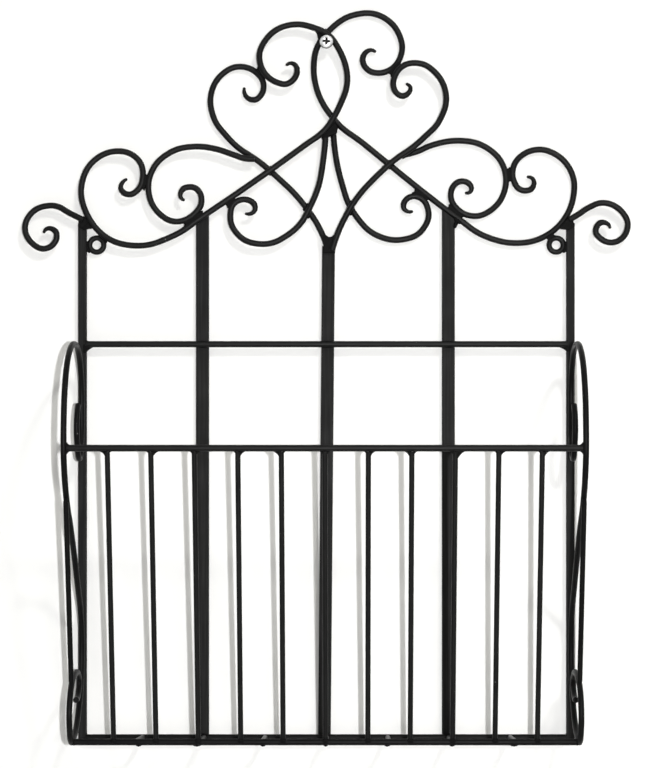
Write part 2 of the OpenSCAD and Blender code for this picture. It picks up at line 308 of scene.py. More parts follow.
@dataclass(frozen=True)
class PowderCoat:
    """A satin black powder coat with orange peel, cloudy sheen and a few tiny chips.

    On rolled bars it can carry thin pale streaks that run up and down: painted highlights at random places,
    in place of the light that the bars' edges catch.
    """

    name: str
    dark: Triple = (0.0018, 0.0018, 0.0019)
    light: Triple = (0.0054, 0.0053, 0.0052)
    chip: Triple = (0.11, 0.108, 0.104)
    glossy: float = 0.36
    matt: float = 0.48
    specular: float = 0.135
    peel: float = 850.0
    peel_depth: float = 0.00005
    peel_strength: float = 0.35
    clouds: float = 34.0
    # The colour of the painted highlight streaks; black leaves them out
    streak: Triple = (0.0, 0.0, 0.0)
    streak_scale: float = 640.0
    streak_squeeze: float = 0.03
    streak_range: Pair = (0.42, 0.68)

    def streaked(self, graph: Graph, place: bpy.types.NodeSocket,
                 coat: bpy.types.NodeSocket) -> bpy.types.NodeSocket:
        """Lay the painted highlight streaks over the coat's colour.

        Args:
            graph: the material's graph.
            place: the place on the rack.
            coat: the coat's colour.

        Returns:
            The colour with its painted highlights.
        """
        tall = graph.add("ShaderNodeMapping", Vector=place)
        tall.inputs["Scale"].default_value = (1.0, 1.0, self.streak_squeeze)
        lines = graph.add("ShaderNodeTexNoise", Vector=tall.outputs[0], Scale=self.streak_scale, Detail=2.0)
        starts, full = self.streak_range
        share = graph.ramp(lines.outputs[0], (starts, 0.0), (full, 1.0))
        return graph.mix(share, coat, (*self.streak, 1.0))

    def material(self, groups: Groups) -> bpy.types.Material:
        """Build the material.

        Args:
            groups: the shared node groups.

        Returns:
            The finished material.
        """
        material, graph, surface = blank_material(self.name)
        place = graph.add("ShaderNodeTexCoord").outputs["Object"]
        grain = graph.add("ShaderNodeGroup", {"node_tree": groups.grain}, Vector=place,
                          Fine=self.peel, Broad=self.clouds).outputs
        chips = graph.add("ShaderNodeGroup", {"node_tree": groups.chips}, Vector=place).outputs["Mask"]
        coat = graph.mix(grain["Patch"], (*self.dark, 1.0), (*self.light, 1.0))
        # painted highlights: pale streaks laid into the colour
        if any(self.streak):
            coat = self.streaked(graph, place, coat)
        shader = graph.add("ShaderNodeBsdfPrincipled", Specular_IOR_Level=self.specular,
                           Base_Color=graph.mix(chips, coat, (*self.chip, 1.0)),
                           Roughness=graph.ramp(grain["Patch"], (0.0, self.glossy), (1.0, self.matt)),
                           Normal=graph.bump(grain["Height"], self.peel_strength, self.peel_depth))
        graph.put(surface, shader.outputs[0])
        return material


@dataclass(frozen=True)
class ZincPlate:
    """Bright zinc plate with fine turning marks, and painted shade in the cross recess and round the rim,
    most on its lower side.
    """

    name: str
    centre: Triple
    turn: float
    recess_l: float
    recess_w: float
    rim_r: float
    pale: Triple = (0.86, 0.865, 0.87)
    dull: Triple = (0.66, 0.665, 0.67)
    # The colour of the painted shade in the cross recess and on the rim
    grime: Triple = (0.022, 0.021, 0.02)
    bright: float = 0.24
    worn: float = 0.46
    ring_scale: float = 420.0
    ring_wobble: float = 0.6
    grit: float = 2600.0
    clouds: float = 420.0
    relief: float = 0.2
    relief_depth: float = 0.00003
    # Where the painted shade starts to fade and where it ends, as shares of the cross and of the rim
    arm_fade: Pair = (0.95, 1.4)
    reach_fade: Pair = (0.86, 1.12)
    rim_fade: Pair = (0.99, 0.9)
    # The share of the painted shade on the rim at two heights, which are shares of the rim's radius
    upper_rim: Pair = (0.4, 0.15)
    lower_rim: Pair = (-0.7, 0.85)

    def stain(self, graph: Graph, centred: bpy.types.NodeSocket) -> bpy.types.NodeSocket:
        """Give the mask of the painted shade in the cross recess and on the rim's lower side, from the
        place across the head.

        Args:
            graph: the material's graph.
            centred: the place, measured from the screw's axis and turned with the cross.

        Returns:
            The mask, from 0 to 1.
        """
        axes = graph.add("ShaderNodeSeparateXYZ", Vector=centred).outputs
        across, up = graph.sum("ABSOLUTE", axes["X"]), graph.sum("ABSOLUTE", axes["Z"])
        squares = [graph.sum("MULTIPLY", axes[word], axes[word]) for word in ("X", "Z")]
        radius = graph.sum("SQRT", graph.sum("ADD", *squares))
        arm, reach, rim = (
            graph.ramp(value, (fade[0] * size, 1.0), (fade[1] * size, 0.0)) for value, fade, size in (
                (graph.sum("MINIMUM", across, up), self.arm_fade, self.recess_w / 2),
                (graph.sum("MAXIMUM", across, up), self.reach_fade, self.recess_l / 2),
                (radius, self.rim_fade, self.rim_r)))
        heights = [(height * self.rim_r, share) for height, share in (self.upper_rim, self.lower_rim)]
        low = graph.ramp(axes["Z"], *heights)
        cross = graph.sum("MULTIPLY", arm, reach)
        return graph.sum("MAXIMUM", cross, graph.sum("MULTIPLY", rim, low))

    def material(self, groups: Groups) -> bpy.types.Material:
        """Build the material.

        Args:
            groups: the shared node groups.

        Returns:
            The finished material.
        """
        material, graph, surface = blank_material(self.name)
        place = graph.add("ShaderNodeTexCoord").outputs["Object"]
        grain = graph.add("ShaderNodeGroup", {"node_tree": groups.grain}, Vector=place,
                          Fine=self.grit, Broad=self.clouds).outputs
        moved = graph.add("ShaderNodeVectorMath", {"operation": "SUBTRACT"})
        graph.put(moved.inputs[0], place)
        graph.put(moved.inputs[1], self.centre)
        centred = graph.add("ShaderNodeMapping", Vector=moved.outputs[0])
        centred.inputs["Rotation"].default_value = (0.0, -math.radians(self.turn), 0.0)
        rings = graph.add("ShaderNodeTexWave", {"wave_type": "RINGS", "rings_direction": "Y"},
                          Vector=centred.outputs[0], Scale=self.ring_scale, Distortion=self.ring_wobble)
        height = graph.sum("ADD", grain["Height"], rings.outputs["Fac"])
        # painted shade: the cross recess and the rim's lower side are darkened in colour, in place of their
        # shade
        stain = self.stain(graph, centred.outputs[0])
        plate = graph.mix(grain["Patch"], (*self.pale, 1.0), (*self.dull, 1.0))
        shader = graph.add("ShaderNodeBsdfPrincipled", Metallic=1.0,
                           Base_Color=graph.mix(stain, plate, (*self.grime, 1.0)),
                           Roughness=graph.ramp(grain["Patch"], (0.0, self.bright), (1.0, self.worn)),
                           Normal=graph.bump(height, self.relief, self.relief_depth))
        graph.put(surface, shader.outputs[0])
        return material


@dataclass(frozen=True)
class PaleSurface:
    """Matt pale paint for the wall and the floor; one_sided lets the camera look through its back."""

    name: str
    colour: Triple
    glow: float = 0.0
    glow_colour: Triple = (1.0, 1.0, 1.0)
    one_sided: bool = False
    roller: float = 260.0
    relief: float = 0.1
    relief_depth: float = 0.0002

    def material(self) -> bpy.types.Material:
        """Build the material, whose glow only whitens what is seen of it and lights nothing.

        Returns:
            The finished material.
        """
        material, graph, surface = blank_material(self.name)
        place = graph.add("ShaderNodeTexCoord").outputs["Object"]
        rough = graph.add("ShaderNodeTexNoise", Vector=place, Scale=self.roller, Detail=3.0)
        normal = graph.bump(rough.outputs[0], self.relief, self.relief_depth)
        matt = graph.add("ShaderNodeBsdfDiffuse", Color=(*self.colour, 1.0), Normal=normal)
        strength = graph.sum("MULTIPLY", graph.seen(), self.glow)
        glow = graph.add("ShaderNodeEmission", Color=(*self.glow_colour, 1.0), Strength=strength)
        lit = graph.add("ShaderNodeAddShader")
        graph.put(lit.inputs[0], matt.outputs[0])
        graph.put(lit.inputs[1], glow.outputs[0])
        finish = lit.outputs[0]
        if self.one_sided:
            cut = graph.add("ShaderNodeMixShader")
            graph.put(cut.inputs[0], graph.add("ShaderNodeNewGeometry").outputs["Backfacing"])
            graph.put(cut.inputs[1], finish)
            graph.put(cut.inputs[2], graph.add("ShaderNodeBsdfTransparent").outputs[0])
            finish = cut.outputs[0]
        graph.put(surface, finish)
        return material


def clear_selection() -> None:
    """Leave edit mode and deselect everything."""
    if bpy.context.object and bpy.context.object.mode != "OBJECT":
        bpy.ops.object.mode_set(mode="OBJECT")
    bpy.ops.object.select_all(action="DESELECT")


def select_only(piece: bpy.types.Object) -> None:
    """Select one object and make it active.

    Args:
        piece: the object.
    """
    clear_selection()
    piece.select_set(True)
    bpy.context.view_layer.objects.active = piece


def added(name: str) -> bpy.types.Object:
    """Name the object that an operator has just added.

    Args:
        name: the name for it and for its mesh.

    Returns:
        The object.
    """
    piece = bpy.context.active_object
    piece.name = piece.data.name = name
    return piece


def apply_modifier(piece: bpy.types.Object, kind: str, **settings: object) -> None:
    """Add a modifier to a piece and apply it.

    Args:
        piece: the object.
        kind: the modifier's type.
        **settings: its properties.
    """
    select_only(piece)
    modifier = piece.modifiers.new(kind.lower(), kind)
    for name, value in settings.items():
        setattr(modifier, name, value)
    bpy.ops.object.modifier_apply(modifier=modifier.name)


def shade_smooth(piece: bpy.types.Object, angle: float) -> None:
    """Shade a piece smooth, but for edges sharper than an angle in degrees."""
    select_only(piece)
    bpy.ops.object.shade_smooth_by_angle(angle=math.radians(angle))


def edit_end(piece: bpy.types.Object, way: float) -> None:
    """Start to edit a piece, with only the face at its upper or lower end selected.

    Args:
        piece: the object.
        way: 1 for the upper end of its Z, -1 for the lower one.
    """
    select_only(piece)
    bpy.ops.object.mode_set(mode="EDIT")
    bpy.ops.mesh.select_mode(type="FACE")
    bpy.ops.mesh.select_all(action="DESELECT")
    bpy.ops.object.mode_set(mode="OBJECT")
    for face in piece.data.polygons:
        face.select = face.normal.z * way > FACING
    bpy.ops.object.mode_set(mode="EDIT")


def draw_out(rise: float, wide: float, deep: float) -> None:
    """Extrude the selected faces along Z, and scale the new ones in X and Y."""
    bpy.ops.mesh.extrude_region_move(TRANSFORM_OT_translate={"value": (0.0, 0.0, rise)})
    bpy.ops.transform.resize(value=(wide, deep, 1.0))


def end_edit() -> None:
    """Turn all faces outwards and leave edit mode."""
    bpy.ops.mesh.select_all(action="SELECT")
    bpy.ops.mesh.normals_make_consistent(inside=False)
    bpy.ops.object.mode_set(mode="OBJECT")


def give_finish(piece: bpy.types.Object, material: bpy.types.Material) -> None:
    """Let a piece have one material and no other."""
    piece.data.materials.clear()
    piece.data.materials.append(material)


def joined(pieces: list[bpy.types.Object], name: str) -> bpy.types.Object:
    """Join pieces into one.

    Args:
        pieces: the objects; the first one takes in the others.
        name: the name of the result.

    Returns:
        The joined object.
    """
    clear_selection()
    for piece in pieces:
        piece.select_set(True)
    bpy.context.view_layer.objects.active = pieces[0]
    bpy.ops.object.join()
    return added(name)


def frame_matrix(at: Vector, along: Vector, up: Vector, size: Triple) -> Matrix:
    """Give the matrix of a unit shape set along a direction.

    Args:
        at: the new place of its origin.
        along: the direction that its Z takes.
        up: a direction near the one that its X takes.
        size: its scale in its own X, Y and Z.

    Returns:
        The matrix.
    """
    z_axis = along.normalized()
    y_axis = z_axis.cross(up).normalized()
    x_axis = y_axis.cross(z_axis)
    turn = Matrix((x_axis, y_axis, z_axis)).transposed().to_4x4()
    return Matrix.Translation(at) @ turn @ Matrix.Diagonal((*size, 1.0))


def slant(angle: float) -> Vector:
    """Give the direction in the plane of the wall at an angle in degrees from X."""
    return Vector((math.cos(math.radians(angle)), 0.0, math.sin(math.radians(angle))))


def node_middle(node: str) -> Vector:
    """Give the middle of a node's box."""
    low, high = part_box(node)
    return (low + high) / 2


def node_radius(node: str) -> float:
    """Give the radius of a rod that runs along X, from its box."""
    low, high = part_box(node)
    return (high.z - low.z) / 2


def in_mm(*sizes: float) -> tuple[float, ...]:
    """Turn sizes in millimetres into metres."""
    return tuple(size * MM for size in sizes)


@dataclass(frozen=True)
class Weld:
    """One weld of a form that repeats: its place, the way it runs, and its scale, in metres."""

    shape: WeldShape
    at: Vector
    along: Vector
    up: Vector
    size: Triple


@dataclass
class WeldShop:
    """Models each form of weld once, sets copies of it, and models the webs one by one.

    The forms that repeat have unit size, and the lumps and the webs are in metres.
    """

    lump: float = 0.00034
    lump_scale: float = 0.0026
    lump_depth: int = 2
    smooth_angle: float = 70.0
    web_voxel: float = 0.00032
    gusset_voxel: float = 0.15
    seam_voxel: float = 0.13
    soften: float = 0.5
    soften_steps: int = 5
    bead_swell: float = 0.07
    bead_waves: float = 9.0
    collar_thin: float = 0.72
    # The collar's steps from the rail to the wire: rise, and scale across and through
    collar_steps: tuple[Triple, ...] = (
        (0.3, 0.97, 1.0), (0.16, 0.9, 1.0), (0.16, 0.86, 0.97), (0.16, 0.88, 0.95), (0.22, 0.9, 0.92),
    )
    patterns: dict[WeldShape, bpy.types.Object] = field(default_factory=dict)

    def plate(self, name: str, corners: list[Pair], front: float, back: float,
              voxel: float) -> bpy.types.Object:
        """Model a softened plate: an outline in X and Z that is drawn out along Y.

        Args:
            name: its name.
            corners: the outline's corners.
            front: the Y of its front face.
            back: the Y of its back face.
            voxel: the size of the mesh's faces.

        Returns:
            The plate.
        """
        clear_selection()
        bpy.ops.mesh.primitive_circle_add(vertices=len(corners), radius=1.0, fill_type="NGON")
        piece = added(name)
        for vertex, (across, up) in zip(piece.data.vertices, corners):
            vertex.co = (across, front, up)
        bpy.ops.object.mode_set(mode="EDIT")
        bpy.ops.mesh.select_all(action="SELECT")
        bpy.ops.mesh.extrude_region_move(TRANSFORM_OT_translate={"value": (0.0, back - front, 0.0)})
        end_edit()
        apply_modifier(piece, "REMESH", mode="VOXEL", voxel_size=voxel)
        apply_modifier(piece, "SMOOTH", factor=self.soften, iterations=self.soften_steps)
        return piece

    def bead(self) -> bpy.types.Object:
        """Model a bead of unit half sizes: a ball that is ringed across its length like laid weld.

        Returns:
            The pattern.
        """
        clear_selection()
        bpy.ops.mesh.primitive_uv_sphere_add(segments=20, ring_count=24, radius=1.0)
        piece = added("pattern_bead")
        for vertex in piece.data.vertices:
            swell = 1.0 + self.bead_swell * math.cos(self.bead_waves * vertex.co.z)
            vertex.co.x *= swell
            vertex.co.y *= swell
        return piece

    def collar(self) -> bpy.types.Object:
        """Model a collar: wide along X at the rail, and narrow round the wire at the top of Z.

        Returns:
            The pattern.
        """
        clear_selection()
        bpy.ops.mesh.primitive_circle_add(vertices=24, radius=1.0, fill_type="NGON")
        piece = added("pattern_collar")
        bpy.ops.object.mode_set(mode="EDIT")
        bpy.ops.mesh.select_all(action="SELECT")
        bpy.ops.transform.resize(value=(1.0, self.collar_thin, 1.0))
        for step in self.collar_steps:
            draw_out(*step)
        end_edit()
        return piece

    def gusset(self) -> bpy.types.Object:
        """Model a corner fillet: unit legs along X and Z with a hollow face, sunk behind both legs.

        Returns:
            The pattern.
        """
        sunk, near, mid, far = 0.45, 0.14, 0.38, 0.68
        corners = [(-sunk, -sunk), (1.0, -sunk), (1.0, 0.0), (far, near), (mid, mid), (near, far),
                   (0.0, 1.0), (-sunk, 1.0)]
        return self.plate("pattern_gusset", corners, -1.0, 1.0, self.gusset_voxel)

    def seam(self) -> bpy.types.Object:
        """Model a seam between two rods side by side: a unit strip along Z with hollow ends.

        Returns:
            The pattern.
        """
        hollow = 0.8
        corners = [(-1.0, -1.0), (0.0, -hollow), (1.0, -1.0), (1.0, 1.0), (0.0, hollow), (-1.0, 1.0)]
        return self.plate("pattern_seam", corners, -1.0, 1.0, self.seam_voxel)

    def pattern(self, shape: WeldShape) -> bpy.types.Object:
        """Give the pattern of a shape, modelled at its first use.

        Args:
            shape: the form of the weld.

        Returns:
            The pattern's object.
        """
        if shape not in self.patterns:
            self.patterns[shape] = getattr(self, shape.value)()
        return self.patterns[shape]

    def copy(self, weld: Weld) -> bpy.types.Object:
        """Set a copy of a pattern, with its own mesh, at a weld.

        Args:
            weld: the weld.

        Returns:
            The copy.
        """
        piece = bpy.data.objects.new(weld.shape.value, self.pattern(weld.shape).data.copy())
        piece.data.transform(frame_matrix(weld.at, weld.along, weld.up, weld.size))
        bpy.context.scene.collection.objects.link(piece)
        return piece

    def lay(self, name: str, welds: list[Weld], webs: list[bpy.types.Object]) -> bpy.types.Object:
        """Set the welds, join them with the webs, and make each one a little different.

        Args:
            name: the name of the piece.
            welds: the welds of forms that repeat.
            webs: the webs, already modelled.

        Returns:
            The piece.
        """
        piece = joined([self.copy(weld) for weld in welds] + webs, name)
        texture = bpy.data.textures.new("weld_lumps", "CLOUDS")
        texture.noise_scale = self.lump_scale
        texture.noise_depth = self.lump_depth
        apply_modifier(piece, "DISPLACE", texture=texture, strength=self.lump, mid_level=0.5,
                       texture_coords="LOCAL")
        shade_smooth(piece, self.smooth_angle)
        return piece

    def clear(self) -> None:
        """Remove the patterns, which aren't pieces of the rack."""
        for piece in self.patterns.values():
            bpy.data.meshes.remove(piece.data)
        self.patterns.clear()


@dataclass(frozen=True)
class Coats:
    """The black coats: on rods, on rolled bars, on the bottom rails and side scrolls, and on welds. The one
    on the bottom is a copy of the rod coat that reflects less, as painted shade low on the rack.
    """

    rod: bpy.types.Material
    bar: bpy.types.Material
    low: bpy.types.Material
    weld: bpy.types.Material


@dataclass
class SubAssembly:
    """What the sub-assemblies share: their coats and their weld shop."""

    coats: Coats
    shop: WeldShop

    def dress(self, nodes: list[str], finish: bpy.types.Material | None = None) -> None:
        """Give a coat to nodes.

        Args:
            nodes: the names of the nodes.
            finish: the coat, where it isn't the one on the rods.
        """
        for name in nodes:
            give_finish(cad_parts[name], finish or self.coats.rod)

    def weld(self, name: str, welds: list[Weld], webs: list[bpy.types.Object] | None = None) -> None:
        """Lay the welds as one piece, coat it and let it ride.

        Args:
            name: the name of the piece.
            welds: the welds of forms that repeat.
            webs: the webs, already modelled.
        """
        piece = self.shop.lay(name, welds, webs or [])
        give_finish(piece, self.coats.weld)
        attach(piece, BODY)
        LOG.info("%s: %d welds, %d faces", name, len(welds), len(piece.data.polygons))

    def build(self) -> None:
        """Build the sub-assembly."""
        raise NotImplementedError


@dataclass(frozen=True)
class RailFillet:
    """The fillets at one end of a back rail: legs along the rail and the upright, in millimetres."""

    rail: str
    side: Side
    below: Pair
    above: Pair


@dataclass
class BackFrame(SubAssembly):
    """Uprights, flat bars, back rails and eyelets, with sizes in millimetres."""

    flat_bars: tuple[str, ...] = ("left_flat_bar", "centre_flat_bar", "right_flat_bar")
    rails: tuple[str, ...] = ("back_rail", "bottom_back_rail")
    fillets: tuple[RailFillet, ...] = (
        RailFillet("back_rail", Side.LEFT, (5.2, 4.4), (2.2, 1.2)),
        RailFillet("back_rail", Side.RIGHT, (5.6, 3.2), (1.5, 0.9)),
        RailFillet("bottom_back_rail", Side.LEFT, (1.6, 1.2), (0.7, 0.6)),
        RailFillet("bottom_back_rail", Side.RIGHT, (1.4, 1.4), (0.7, 0.6)),
    )
    fillet_half: float = 1.7
    # How far behind the upright's front a fillet's middle lies at least, as a share of its half
    fillet_bury: float = 0.6
    crossing_half: float = 0.9
    crossing_out: float = 0.2
    # How far from a rail's axis its crossing beads lie, and how long they are, as shares
    crossing_off: float = 0.75
    crossing_share: float = 0.8
    centre_half_w: float = 4.5
    eyelet_fillet: Triple = (2.2, 1.6, 4.8)
    eyelet_seat_drop: float = 1.3

    def rail_ends(self) -> list[Weld]:
        """Give the fillets between the ends of the two back rails and the uprights.

        Returns:
            The welds.
        """
        welds = []
        for fillet in self.fillets:
            middle, radius = node_middle(fillet.rail), node_radius(fillet.rail)
            low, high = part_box(f"{fillet.side.word}_upright")
            inwards = Side(-fillet.side.value)
            inner = inwards.edge(low, high)
            depth = max(middle.y, low.y + self.fillet_half * MM * self.fillet_bury)
            for turn, (along_rail, along_upright) in ((-1.0, fillet.below), (1.0, fillet.above)):
                at = Vector((inner, depth, middle.z + turn * radius * RAIL_SINK))
                size = in_mm(along_rail, self.fillet_half, along_upright)
                welds.append(Weld(WeldShape.GUSSET, at, UP * turn, ACROSS * inwards.value, size))
        return welds

    def crossings(self) -> list[Weld]:
        """Give the beads behind the back rails, in the corners where they cross the flat bars.

        Returns:
            The welds.
        """
        welds = []
        for bar in self.flat_bars:
            low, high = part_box(bar)
            across = (low.x + high.x) / 2
            half = (high.x - low.x) / 2 if bar != "centre_flat_bar" else self.centre_half_w * MM
            size = (self.crossing_half * MM, self.crossing_half * MM, self.crossing_share * half)
            for rail in self.rails:
                middle, off = node_middle(rail), self.crossing_off * node_radius(rail)
                for turn in (-1.0, 1.0):
                    at = Vector((across, low.y - self.crossing_out * MM, middle.z + turn * off))
                    welds.append(Weld(WeldShape.BEAD, at, ACROSS, OUT, size))
        return welds

    def eyelet_seats(self) -> list[Weld]:
        """Give the seams between the eyelets and the uprights.

        Returns:
            The welds.
        """
        welds = []
        for side in Side:
            low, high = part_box(f"wall_eyelet_{side.word}")
            middle = (low + high) / 2
            at = Vector((side.edge(low, high), middle.y, middle.z - self.eyelet_seat_drop * MM))
            welds.append(Weld(WeldShape.SEAM, at, UP, ACROSS, in_mm(*self.eyelet_fillet)))
        return welds

    def build(self) -> None:
        """Coat the frame and lay its welds."""
        self.dress([*self.flat_bars, *(f"{side.word}_upright" for side in Side)], self.coats.bar)
        self.dress(["back_rail", *(f"wall_eyelet_{side.word}" for side in Side)])
        # painted shade: the bottom back rail gets the copy of the coat that reflects less
        self.dress(["bottom_back_rail"], self.coats.low)
        self.weld("back_frame_welds", self.rail_ends() + self.crossings() + self.eyelet_seats())


@dataclass(frozen=True)
class SeamPlace:
    """A seam between two rods: its ends and half width, in millimetres over the base line, and layer."""

    layer: Layer
    start: Pair
    end: Pair
    half_w: float = 1.8


@dataclass(frozen=True)
class Web:
    """A web of weld metal: its layer, half thickness and corners, in millimetres over the base line."""

    layer: Layer
    half_t: float
    corners: tuple[Pair, ...]


@dataclass
class Crown(SubAssembly):
    """The scrolls above the back frame, which lap in two layers, with sizes in millimetres."""

    base_h: float = 385.0
    seam_half: float = 1.6
    seams: tuple[SeamPlace, ...] = (
        SeamPlace(Layer.FRONT, (-134.0, 36.2), (-137.7, 23.4)),
        SeamPlace(Layer.FRONT, (-107.6, -2.8), (-90.8, 7.1), 2.0),
        SeamPlace(Layer.FRONT, (-75.2, 11.4), (-67.2, 17.2), 2.0),
        SeamPlace(Layer.MIDDLE, (-52.6, 115.4), (-45.0, 106.4)),
        SeamPlace(Layer.MIDDLE, (-60.8, 50.0), (-54.0, 46.4)),
        SeamPlace(Layer.BACK, (135.6, 41.2), (137.6, 29.6)),
        SeamPlace(Layer.BACK, (90.2, 12.3), (101.9, 2.5), 2.2),
        SeamPlace(Layer.BACK, (64.7, 23.8), (76.6, 15.7), 2.2),
        SeamPlace(Layer.MIDDLE, (56.4, 119.2), (46.7, 109.7), 2.2),
        SeamPlace(Layer.MIDDLE, (64.0, 52.9), (56.0, 48.4)),
        SeamPlace(Layer.MIDDLE, (-170.6, -9.2), (-163.2, -14.8), 1.7),
        SeamPlace(Layer.MIDDLE, (170.6, -9.2), (165.0, -13.4), 1.7),
    )
    webs: tuple[Web, ...] = (
        Web(Layer.MIDDLE, 2.6, ((-185.0, -4.0), (-185.3, 1.0), (-182.6, 3.7), (-181.0, 4.2), (-178.5, 1.5),
                                (-174.0, -4.4), (-175.6, -5.0), (-178.8, -5.4), (-181.0, -6.4))),
        Web(Layer.MIDDLE, 2.6, ((184.8, -4.0), (184.8, -0.4), (182.8, 3.2), (181.6, 4.2), (178.8, 1.0),
                                (174.0, -4.4), (175.2, -5.2), (178.6, -5.7), (181.0, -6.4))),
        Web(Layer.MIDDLE, 2.8, ((3.5, 77.4), (8.6, 70.6), (7.6, 66.0), (3.0, 64.2), (1.4, 63.6),
                                (0.4, 60.0), (-2.4, 60.0), (-3.9, 63.3), (-5.2, 67.0))),
        Web(Layer.MIDDLE, 3.1, ((-4.0, -9.4), (0.0, -10.2), (1.5, -11.4), (3.6, -11.4), (5.2, -10.0),
                                (8.6, -8.4), (6.7, -17.6), (6.5, -23.4), (-2.6, -23.4), (-2.2, -18.0))),
        Web(Layer.MIDDLE, 2.2, ((0.6, 140.6), (-9.4, 144.2), (-6.9, 140.4), (-6.0, 135.4))),
    )
    # Where rods cross: x, height over the base line, direction of the bead in degrees
    laps: tuple[Triple, ...] = (
        (5.3, 78.2, 92.0), (-0.4, 141.0, 95.0), (-42.0, 38.3, 87.0), (47.2, 42.9, 90.0),
    )
    lap_half: Triple = (1.8, 2.0, 3.7)
    # Where the leaves cross the hearts: the long beads, and the short ones across them
    leaf_laps: tuple[Triple, ...] = ((-13.8, 8.4, 94.0), (18.4, 10.5, 87.0))
    leaf_lap_half: Triple = (2.4, 2.1, 5.8)
    leaf_sides: tuple[Triple, ...] = ((-14.5, 9.1, 171.0), (18.0, 10.5, 178.0))
    leaf_side_half: Triple = (2.0, 1.6, 3.2)
    # Beads on the tops of the outer flat bars: x, height over the base line, direction in degrees
    flat_tops: tuple[Triple, ...] = ((-96.0, 0.6, 32.0), (96.6, -1.6, 75.0), (97.8, 0.8, -40.0))
    flat_half: Triple = (1.8, 1.5, 3.2)

    def depth(self, layer: Layer) -> float:
        """Give the Y of a layer, from a heart scroll at the back and a crown scroll at the front."""
        back, front = node_middle("heart_scroll_left").y, node_middle("crown_scroll_left").y
        return back + (front - back) * layer.value

    def lies(self, x: float, over: float, layer: Layer) -> Vector:
        """Turn millimetres across and over the base line into a point of the frame."""
        return Vector((x * MM, self.depth(layer), (self.base_h + over) * MM))

    def seam_welds(self) -> list[Weld]:
        """Give the seams between rods that run side by side.

        Returns:
            The welds.
        """
        welds = []
        for seam in self.seams:
            start, end = (self.lies(*spot, seam.layer) for spot in (seam.start, seam.end))
            half = (end - start).length / 2
            size = (seam.half_w * MM, self.seam_half * MM, half)
            welds.append(Weld(WeldShape.SEAM, (start + end) / 2, end - start, OUT.cross(end - start), size))
        return welds

    def beads(self, places: tuple[Triple, ...], half: Triple) -> list[Weld]:
        """Give beads between the two layers.

        Args:
            places: each bead's x, height over the base line and direction.
            half: the half sizes of each bead.

        Returns:
            The welds.
        """
        return [Weld(WeldShape.BEAD, self.lies(x, over, Layer.MIDDLE), slant(angle), OUT, in_mm(*half))
                for x, over, angle in places]

    def web_plates(self) -> list[bpy.types.Object]:
        """Model the webs, each where it lies.

        Returns:
            The webs.
        """
        plates = []
        for number, web in enumerate(self.webs, 1):
            corners = [(x * MM, (self.base_h + over) * MM) for x, over in web.corners]
            middle, half = self.depth(web.layer), web.half_t * MM
            plates.append(self.shop.plate(f"crown_web_{number}", corners, middle - half, middle + half,
                                          self.shop.web_voxel))
        return plates

    def build(self) -> None:
        """Coat the scrolls and lay their welds."""
        words = ("crown_scroll", "heart_scroll", "leaf_scroll", "c_scroll", "side_curl")
        self.dress([f"{word}_{side.word}" for word in words for side in Side])
        welds = self.seam_welds()
        for places, half in ((self.laps, self.lap_half), (self.leaf_laps, self.leaf_lap_half),
                             (self.leaf_sides, self.leaf_side_half), (self.flat_tops, self.flat_half)):
            welds += self.beads(places, half)
        self.weld("crown_welds", welds, self.web_plates())


